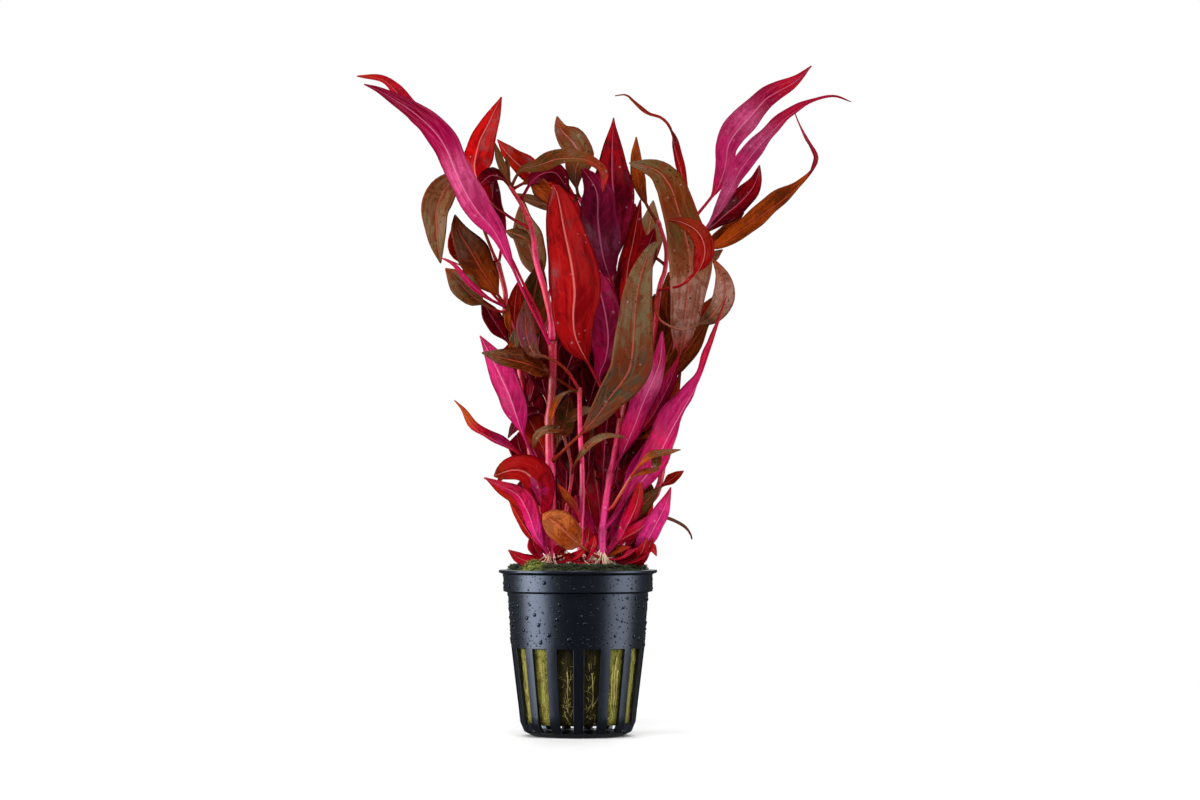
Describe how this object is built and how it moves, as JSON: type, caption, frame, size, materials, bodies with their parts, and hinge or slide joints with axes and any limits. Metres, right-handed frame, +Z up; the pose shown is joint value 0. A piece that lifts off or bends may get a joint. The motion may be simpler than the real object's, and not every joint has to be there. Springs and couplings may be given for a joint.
{
  "type": "potted red alternanthera plant",
  "caption": "Red-leaved aquarium stem plant with long lance-shaped leaves, rooted in a rock wool plug in a slotted net pot, standing on the pot's flat underside",
  "frame": {"origin": "centre of the flat underside that the pot stands on", "axes": "+Z up along the pot's axis, the front of the plant faces -Y, +X to the right seen from the front"},
  "size_m": [0.1726, 0.0842, 0.237],
  "materials": {
    "pot_plastic": "dark moulded plastic, slightly glossy, wet",
    "rock_wool": "fibrous, matte, wet",
    "moss": "matte, rough",
    "stem": "smooth, waxy, pink to dark red",
    "leaf_pink": "satin, wet, pink with darker blotches",
    "leaf_red": "satin, wet, red",
    "leaf_crimson": "satin, wet, dark crimson",
    "leaf_purple": "satin, wet, purple",
    "leaf_olive": "satin, mottled olive brown",
    "leaf_rust": "satin, mottled orange brown"
  },
  "bodies": {
    "root": {"leaf_back_centre": "leaf_olive", "leaf_back_left": "leaf_crimson", "leaf_back_low_centre": "leaf_red", "leaf_back_low_left": "leaf_crimson", "leaf_back_low_middle": "leaf_crimson", "leaf_back_low_right": "leaf_crimson", "leaf_back_middle": "leaf_red", "leaf_back_right": "leaf_crimson", "leaf_back_top_left": "leaf_olive", "leaf_back_top_middle": "leaf_crimson", "leaf_back_top_right": "leaf_olive", "leaf_far_left_pink": "leaf_red", "leaf_front_olive": "leaf_olive", "leaf_front_red": "leaf_red", "leaf_left_brown_upright": "leaf_olive", "leaf_left_drooping_olive": "leaf_olive", "leaf_left_long_pink": "leaf_pink", "leaf_left_long_red": "leaf_red", "leaf_left_olive_small": "leaf_olive", "leaf_left_orange": "leaf_rust", "leaf_left_pink_low": "leaf_pink", "leaf_left_rust_front": "leaf_rust", "leaf_low_front_orange": "leaf_rust", "leaf_low_left_curled": "leaf_red", "leaf_low_left_pink": "leaf_pink", "leaf_low_right_pink": "leaf_pink", "leaf_middle_magenta": "leaf_purple", "leaf_right_long_pink": "leaf_pink", "leaf_right_looping": "leaf_olive", "leaf_right_olive_arching": "leaf_olive", "leaf_right_orange_behind": "leaf_rust", "leaf_right_pink_front": "leaf_pink", "leaf_right_red_folded": "leaf_red", "leaf_right_rust": "leaf_rust", "leaf_top_crimson": "leaf_crimson", "leaf_top_left_red": "leaf_red", "leaf_top_olive_arching": "leaf_olive", "leaf_top_olive_upright": "leaf_olive", "leaf_top_orange": "leaf_rust", "leaf_top_purple": "leaf_purple", "leaf_top_red_leaning": "leaf_red", "leaf_top_right_dark": "leaf_crimson", "leaf_top_right_hooked": "leaf_red", "leaf_top_right_pink": "leaf_pink", "leaf_top_right_pink_curved": "leaf_pink", "moss_cushion": "moss", "pot": "pot_plastic", "rock_wool_plug": "rock_wool", "shoot_centre": "stem", "shoot_right": "stem", "stem_back_left": "stem", "stem_back_right": "stem", "stem_far_left": "stem", "stem_far_right": "stem", "stem_left": "stem", "stem_left_upper": "stem", "stem_right": "stem", "stem_right_back": "stem", "stem_right_upper": "stem", "stem_thin_centre": "stem"}
  },
  "joints": []
}
